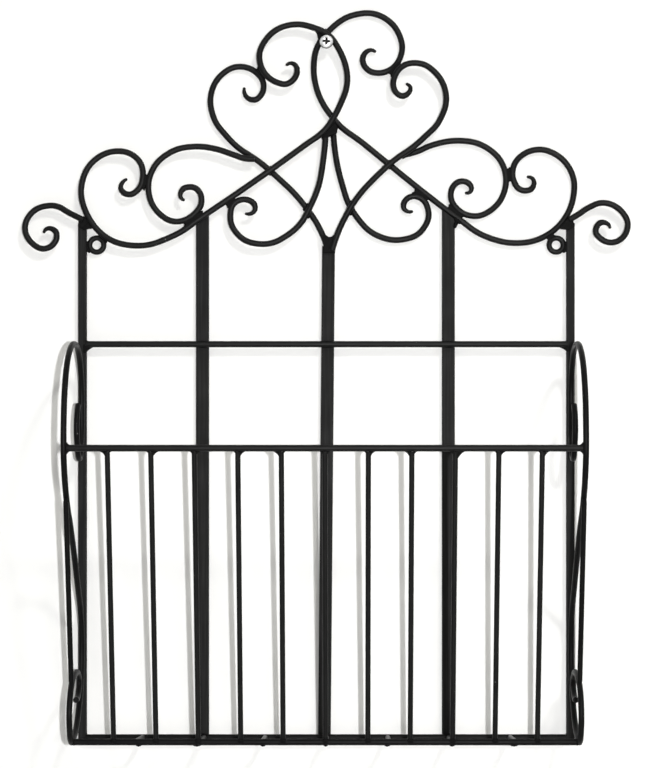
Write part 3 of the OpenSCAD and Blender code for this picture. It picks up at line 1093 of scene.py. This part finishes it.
@dataclass
class Basket(SubAssembly):
    """Side scrolls, front rails and wires, with sizes in millimetres."""

    # The lumps where the floor wires end: how far each lies right of its wire, and its half width
    floor_feet: tuple[Pair, ...] = (
        (2.7, 2.5), (-1.0, 3.4), (0.7, 2.1), (0.0, 1.9), (-1.4, 2.6), (-0.4, 2.3), (-1.5, 3.1),
    )
    # Legs of the fillets to the left and the right of each front wire, under the front rail
    top_fillets: tuple[Pair, ...] = (
        (3.0, 1.3), (1.2, 3.6), (1.2, 2.2), (1.2, 3.4), (3.6, 1.2), (1.8, 1.8), (1.2, 3.1), (3.4, 1.8),
        (1.8, 5.0), (1.2, 2.8), (1.2, 3.1),
    )
    fillet_half: float = 1.3
    wire_collar: Triple = (2.6, 2.9, 4.2)
    rail_fillet: Pair = (2.2, 2.0)
    lump_half: Triple = (2.3, 2.2, 2.7)
    wire_foot_half: Triple = (2.1, 1.5, 2.6)
    wire_foot_off: Pair = (0.9, 1.0)
    floor_foot_half: Pair = (1.8, 1.7)
    floor_foot_rise: float = 0.9
    lump_out: float = 0.4
    seat_half: Triple = (1.4, 1.1, 6.0)
    seat_out: float = 0.3
    seat_heights: Pair = (236.0, 66.0)
    corner_half: Triple = (1.7, 1.8, 2.6)
    # Where the beads on a corner rod lie: Y and Z off the corner of its box
    corner_top_off: Pair = (1.2, 0.3)
    corner_foot_off: Pair = (-1.6, 0.0)

    def wire_way(self, first: str, second: str) -> tuple[Vector, Vector, Vector]:
        """Give the middles of two rails, and the way from the first to the second across them."""
        start, end = node_middle(first), node_middle(second)
        return start, end, Vector((0.0, end.y - start.y, end.z - start.z)).normalized()

    def wire_tops(self) -> list[Weld]:
        """Give the fillets on both sides of the front wires, under the front rail.

        Returns:
            The welds.
        """
        rail, _, way = self.wire_way("front_rail", "bottom_front_rail")
        reach = node_radius("front_rail") * RAIL_SINK
        welds = []
        for number, legs in enumerate(self.top_fillets, 1):
            low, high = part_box(f"front_wire_{number}")
            for side, leg in zip(Side, legs):
                at = Vector((side.edge(low, high), rail.y, rail.z)) + way * reach
                size = in_mm(leg, self.fillet_half, leg)
                welds.append(Weld(WeldShape.GUSSET, at, way, ACROSS * side.value, size))
        return welds

    def collars(self, nodes: list[str], rail: Vector, along: Vector) -> list[Weld]:
        """Give a collar at the end of each wire.

        Args:
            nodes: the names of the wires.
            rail: the middle of the rail at that end.
            along: the way along the wires from that end.

        Returns:
            The welds.
        """
        return [Weld(WeldShape.COLLAR, Vector((node_middle(name).x, rail.y, rail.z)), along, ACROSS,
                     in_mm(*self.wire_collar)) for name in nodes]

    def wire_feet(self, wires: list[str], floor: list[str]) -> tuple[list[Weld], list[Weld]]:
        """Give the lumps on the bottom front rail, where the wires end.

        Args:
            wires: the names of the front wires, whose lumps lie on the rail's front.
            floor: the names of the floor wires, whose lumps hang under the rail.

        Returns:
            The lumps of the front wires and those of the floor wires.
        """
        low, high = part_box("bottom_front_rail")
        middle = (low + high) / 2
        back, rise = in_mm(*self.wire_foot_off)
        front = [Weld(WeldShape.BEAD, Vector((node_middle(name).x, low.y + back, middle.z + rise)),
                      ACROSS, UP, in_mm(*self.wire_foot_half)) for name in wires]
        hung = []
        for name, (shift, half_w) in zip(floor, self.floor_feet):
            at = Vector((node_middle(name).x + shift * MM, middle.y, low.z + self.floor_foot_rise * MM))
            hung.append(Weld(WeldShape.BEAD, at, ACROSS, UP, in_mm(*self.floor_foot_half, half_w)))
        return front, hung

    def rail_ends(self) -> list[Weld]:
        """Give the fillets at the front rail's ends, and the lumps at the bottom front rail's ends.

        Returns:
            The welds.
        """
        welds = []
        size = in_mm(self.rail_fillet[0], self.fillet_half, self.rail_fillet[1])
        for side in Side:
            low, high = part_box("front_rail")
            middle, off = (low + high) / 2, RAIL_SINK * node_radius("front_rail")
            for turn in (-1.0, 1.0):
                at = Vector((side.edge(low, high), middle.y, middle.z + turn * off))
                welds.append(Weld(WeldShape.GUSSET, at, UP * turn, ACROSS * -side.value, size))
            low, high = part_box("bottom_front_rail")
            x = side.edge(low, high) + side.value * self.lump_out * MM
            at = Vector((x, (low.y + high.y) / 2, low.z + self.lump_half[1] * MM))
            welds.append(Weld(WeldShape.BEAD, at, ACROSS, UP, in_mm(*self.lump_half)))
        return welds

    def scroll_seats(self) -> list[Weld]:
        """Give the beads that hold the side scrolls on the uprights and the corner rods on them.

        Returns:
            The welds.
        """
        welds = []
        for side in Side:
            x = node_middle(f"side_scroll_{side.word}").x
            low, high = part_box(f"corner_rod_{side.word}")
            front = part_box(f"{side.word}_upright")[0].y
            for height in self.seat_heights:
                at = Vector((x, front - self.seat_out * MM, height * MM))
                welds.append(Weld(WeldShape.BEAD, at, UP, ACROSS, in_mm(*self.seat_half)))
            for y, z, off in ((low.y, high.z, self.corner_top_off), (high.y, low.z, self.corner_foot_off)):
                at = Vector((x, y + off[0] * MM, z + off[1] * MM))
                welds.append(Weld(WeldShape.BEAD, at, high - low, ACROSS, in_mm(*self.corner_half)))
        return welds

    def build(self) -> None:
        """Coat the basket and lay its welds."""
        front = [f"front_wire_{i}" for i in range(1, len(self.top_fillets) + 1)]
        floor = [f"floor_wire_{i}" for i in range(1, len(self.floor_feet) + 1)]
        pairs = [f"{word}_{side.word}" for word in ("side_scroll", "corner_rod") for side in Side]
        self.dress(["front_rail"] + front + floor)
        # painted shade: the bottom front rail, side scrolls and corner rods get the copy of the coat that
        # reflects less
        self.dress(["bottom_front_rail"] + pairs, self.coats.low)
        _, foot, down = self.wire_way("front_rail", "bottom_front_rail")
        back, _, out = self.wire_way("bottom_back_rail", "bottom_front_rail")
        front_feet, floor_feet = self.wire_feet(front, floor)
        self.weld("front_wire_welds", self.wire_tops() + self.collars(front, foot, -down) + front_feet)
        self.weld("floor_wire_welds",
                  self.collars(floor, back, out) + self.collars(floor, foot, -out) + floor_feet)
        self.weld("side_scroll_welds", self.rail_ends() + self.scroll_seats())


@dataclass
class WallScrew:
    """The pan-head screw that the rack hangs on, with its cross recess and thread, in millimetres."""

    groups: Groups
    head_d: float = 10.0
    head_h: float = 3.4
    # The share of the head's height below its dome, the share of its width that the dome leaves
    # flat, and the dome's steps in degrees
    edge_share: float = 0.3
    flat_share: float = 0.42
    dome_steps: tuple[int, ...] = (0, 15, 30, 45, 60, 72, 82)
    bevel_w: float = 0.1
    bevel_angle: float = 50.0
    smooth_angle: float = 35.0
    recess_l: float = 5.8
    recess_w: float = 1.6
    recess_h: float = 1.9
    # The length and the width of the recess at its bottom, as shares of those at the top
    recess_taper: Pair = (0.45, 0.7)
    turn: float = 3.0
    shank_d: float = 4.8
    shank_lap: float = 0.2
    neck: float = 8.0
    # The point's length as a share of the shank's width, and its steps: share of it, and scale
    point_share: float = 1.6
    point_steps: tuple[Pair, ...] = ((0.6, 0.62), (0.4, 0.06))
    pitch: float = 1.8
    thread_h: float = 0.65
    # Half the width of the thread's foot as a share of the pitch, and how deep it is sunk
    thread_foot: float = 0.42
    thread_sunk: float = 0.1
    thread_sides: int = 24

    def dome_width(self, turn: float) -> float:
        """Give the dome's width at a step of its curve, as a share of the head's."""
        return self.flat_share + (1.0 - self.flat_share) * math.cos(turn)

    def head(self, seat: float) -> bpy.types.Object:
        """Model the head on its seat, with Z along the screw.

        Args:
            seat: the height of the seat.

        Returns:
            The head.
        """
        clear_selection()
        edge = self.edge_share * self.head_h
        bpy.ops.mesh.primitive_cylinder_add(vertices=64, radius=self.head_d / 2, depth=edge,
                                            location=(0.0, 0.0, seat + edge / 2))
        piece = added("screw_head")
        bpy.ops.object.transform_apply(location=True, rotation=True, scale=True)
        edit_end(piece, 1.0)
        steps = [math.radians(angle) for angle in self.dome_steps]
        for last, turn in zip(steps, steps[1:]):
            rise = (self.head_h - edge) * (math.sin(turn) - math.sin(last))
            shrink = self.dome_width(turn) / self.dome_width(last)
            draw_out(rise, shrink, shrink)
        bpy.ops.object.mode_set(mode="OBJECT")
        cutter = self.cutter(seat + self.head_h)
        apply_modifier(piece, "BOOLEAN", operation="DIFFERENCE", object=cutter, solver="EXACT")
        bpy.data.meshes.remove(cutter.data)
        apply_modifier(piece, "BEVEL", width=self.bevel_w, segments=2, limit_method="ANGLE",
                       angle_limit=math.radians(self.bevel_angle))
        return piece

    def cutter(self, top: float) -> bpy.types.Object:
        """Model the cross that is cut into the head: two bars that taper to the bottom.

        Args:
            top: the height of the head's top.

        Returns:
            The cutter.
        """
        bars = []
        for turn, narrow in ((0.0, self.recess_taper), (math.pi / 2, self.recess_taper[::-1])):
            clear_selection()
            bpy.ops.mesh.primitive_cube_add(size=1.0, location=(0.0, 0.0, top), rotation=(0.0, 0.0, turn))
            bar = added("recess_bar")
            bar.scale = (self.recess_l, self.recess_w, 2 * self.recess_h)
            bpy.ops.object.transform_apply(location=True, rotation=True, scale=True)
            for vertex in bar.data.vertices:
                if vertex.co.z < top:
                    vertex.co.x *= narrow[0]
                    vertex.co.y *= narrow[1]
            bars.append(bar)
        apply_modifier(bars[0], "BOOLEAN", operation="UNION", object=bars[1], solver="EXACT")
        bpy.data.meshes.remove(bars[1].data)
        return bars[0]

    def shank(self, tail: float, seat: float) -> bpy.types.Object:
        """Model the shank with its point, and the thread round it.

        Args:
            tail: the height of the screw's point.
            seat: the height of the head's seat.

        Returns:
            The shank.
        """
        clear_selection()
        core = (self.shank_d - self.thread_h) / 2
        point, lap = self.point_share * self.shank_d, self.shank_lap
        bpy.ops.mesh.primitive_cylinder_add(vertices=32, radius=core, depth=seat - tail - point + lap,
                                            location=(0.0, 0.0, (seat + tail + point + lap) / 2))
        piece = added("screw_shank")
        bpy.ops.object.transform_apply(location=True, rotation=True, scale=True)
        edit_end(piece, -1.0)
        for share, narrow in self.point_steps:
            draw_out(-share * point, narrow, narrow)
        bpy.ops.object.mode_set(mode="OBJECT")
        return joined([piece, self.thread(tail + point, seat - self.neck, core)], "screw_shank")

    def thread(self, low: float, high: float, core: float) -> bpy.types.Object:
        """Model the thread: a three-cornered ridge that is wound round the core.

        Args:
            low: where the thread starts.
            high: where it ends.
            core: the radius that it stands on.

        Returns:
            The thread.
        """
        clear_selection()
        turns = int((high - low) / self.pitch)
        bpy.ops.mesh.primitive_circle_add(vertices=3, radius=self.thread_h, fill_type="NOTHING")
        piece = added("screw_thread")
        base, rise = core - self.thread_sunk, self.thread_foot * self.pitch
        corners = ((base, -rise), (core + self.thread_h, 0.0), (base, rise))
        for vertex, (out, up) in zip(piece.data.vertices, corners):
            vertex.co = (out, 0.0, low + up)
        apply_modifier(piece, "SCREW", screw_offset=self.pitch, iterations=turns, steps=self.thread_sides,
                       render_steps=self.thread_sides, use_merge_vertices=True)
        select_only(piece)
        bpy.ops.object.mode_set(mode="EDIT")
        bpy.ops.mesh.select_all(action="DESELECT")
        bpy.ops.mesh.select_mode(type="EDGE")
        bpy.ops.mesh.select_non_manifold()
        bpy.ops.mesh.fill()
        end_edit()
        return piece

    def build(self) -> None:
        """Model the screw where its node is, plate it and let it stand for the node."""
        low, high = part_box("wall_screw")
        middle = (low + high) / 2
        seat = -low.y / MM - self.head_h
        piece = joined([self.head(seat), self.shank(-high.y / MM, seat)], "wall_screw_bright")
        piece.data.transform(Matrix.Scale(MM, 4))
        piece.data.transform(Matrix.Rotation(math.pi / 2, 4, "X"))
        piece.data.transform(Matrix.Rotation(math.radians(self.turn), 4, "Y"))
        piece.data.transform(Matrix.Translation((middle.x, 0.0, middle.z)))
        shade_smooth(piece, self.smooth_angle)
        zinc = ZincPlate("bright_zinc", (middle.x, 0.0, middle.z), self.turn, self.recess_l * MM,
                         self.recess_w * MM, self.head_d / 2 * MM)
        give_finish(piece, zinc.material(self.groups))
        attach(piece, BODY)
        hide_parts("wall_screw")
        LOG.info("wall_screw_bright: %d faces", len(piece.data.polygons))


@dataclass
class Studio:
    """White wall, pale floor, lamps and the camera at the photograph's place, in metres."""

    focal_px: float = 1986.7
    frame_px: float = 768.0
    centre_off_px: Pair = (26.0, 62.0)
    eye: Triple = (0.0176, -1.490, 0.2175)
    aim: Triple = (0.0, 0.0, 0.27)
    sensor_mm: float = 36.0
    flash_at: Triple = (0.1326, -1.58, 0.2175)
    flash_size: float = 0.02
    flash_watts: float = 15.5
    top_at: Triple = (1.02, -2.2, 2.05)
    top_size: float = 0.34
    top_watts: float = 25.0
    warm: Triple = (1.0, 0.99, 0.92)
    world_light: float = 0.20
    world_seen: float = 0.92
    plane_size: float = 6.0
    wall_colour: Triple = (0.88, 0.88, 0.88)
    wall_glow: float = 0.12
    wall_y: float = 0.0004
    floor_colour: Triple = (0.84, 0.84, 0.83)
    floor_glow: float = 0.38
    floor_z: float = -0.6
    near_clip: float = 0.01

    def plane(self, name: str, at: Triple, turn: Triple, finish: PaleSurface) -> None:
        """Add a stage plane.

        Args:
            name: its name.
            at: its middle.
            turn: its turn about X, Y and Z.
            finish: its paint.
        """
        clear_selection()
        bpy.ops.mesh.primitive_plane_add(size=self.plane_size, location=at, rotation=turn)
        piece = added(name)
        bpy.ops.object.transform_apply(location=True, rotation=True, scale=True)
        piece.data.materials.append(finish.material())

    def walls(self) -> None:
        """Set the wall behind the rack and the floor below it."""
        wall_paint = PaleSurface("wall_paint", self.wall_colour, self.wall_glow, self.warm, one_sided=True)
        self.plane("wall", (0.0, self.wall_y, 0.0), (math.pi / 2, 0.0, 0.0), wall_paint)
        floor_paint = PaleSurface("floor_paint", self.floor_colour, self.floor_glow)
        self.plane("floor", (0.0, -self.plane_size / 2, self.floor_z), (0.0, 0.0, 0.0), floor_paint)

    def lamp(self, name: str, at: Triple, size: float, watts: float, colour: Triple) -> None:
        """Add a round area lamp that faces the rack.

        Args:
            name: its name.
            at: its place.
            size: its diameter.
            watts: its power.
            colour: its colour.
        """
        data = bpy.data.lights.new(name, "AREA")
        data.shape = "DISK"
        data.size = size
        data.energy = watts
        data.color = colour
        lamp = bpy.data.objects.new(name, data)
        lamp.location = at
        lamp.rotation_euler = (Vector(self.aim) - Vector(at)).to_track_quat("-Z", "Y").to_euler()
        bpy.context.scene.collection.objects.link(lamp)

    def lights(self) -> None:
        """Set the flash beside the lens, the soft light above and the world."""
        self.lamp("flash", self.flash_at, self.flash_size, self.flash_watts, WHITE[:3])
        self.lamp("top_light", self.top_at, self.top_size, self.top_watts, self.warm)
        world = bpy.data.worlds.new("studio_light")
        world.use_nodes = True
        world.node_tree.nodes.clear()
        graph = Graph(world.node_tree)
        strength = graph.ramp(graph.seen(), (0.0, self.world_light), (1.0, self.world_seen))
        back = graph.add("ShaderNodeBackground", Color=WHITE, Strength=strength)
        graph.put(graph.add("ShaderNodeOutputWorld").inputs["Surface"], back.outputs[0])
        bpy.context.scene.world = world

    def camera(self) -> None:
        """Set the camera at the photograph's place."""
        data = bpy.data.cameras.new("camera")
        data.sensor_width = self.sensor_mm
        data.lens = self.focal_px / self.frame_px * self.sensor_mm
        data.shift_x = -self.centre_off_px[0] / self.frame_px
        data.shift_y = self.centre_off_px[1] / self.frame_px
        data.clip_start = self.near_clip
        camera = bpy.data.objects.new("camera", data)
        camera.location = self.eye
        camera.rotation_euler = (math.pi / 2, 0.0, 0.0)
        bpy.context.scene.collection.objects.link(camera)
        bpy.context.scene.camera = camera

    def build(self) -> None:
        """Set up the whole studio."""
        self.walls()
        self.lights()
        self.camera()
        bpy.context.scene.view_settings.view_transform = "Standard"
        LOG.info("studio: wall, floor, lamps and camera")


def main() -> None:
    """Build the rack and its studio."""
    logging.basicConfig(level=logging.INFO, format="%(name)s: %(message)s")
    groups = Groups()
    rod = PowderCoat("black_powder_coat")
    # The bar coat carries painted highlight streaks
    bar = PowderCoat("black_bar_coat", glossy=0.5, matt=0.66, specular=0.12,
                     streak=(0.0115, 0.0114, 0.0112))
    # painted shade: the same black with less reflection, which darkens the bottom rails and side scrolls as
    # though less light reached them
    low = PowderCoat("black_coat_painted_shade", glossy=0.34, matt=0.44, specular=0.07)
    weld = PowderCoat("black_weld_coat", glossy=0.52, matt=0.68, specular=0.06)
    coats = Coats(*(finish.material(groups) for finish in (rod, bar, low, weld)))
    shop = WeldShop()
    for part in (BackFrame, Crown, Basket):
        part(coats, shop).build()
    shop.clear()
    WallScrew(groups).build()
    Studio().build()


if __name__ == "__main__":
    main()
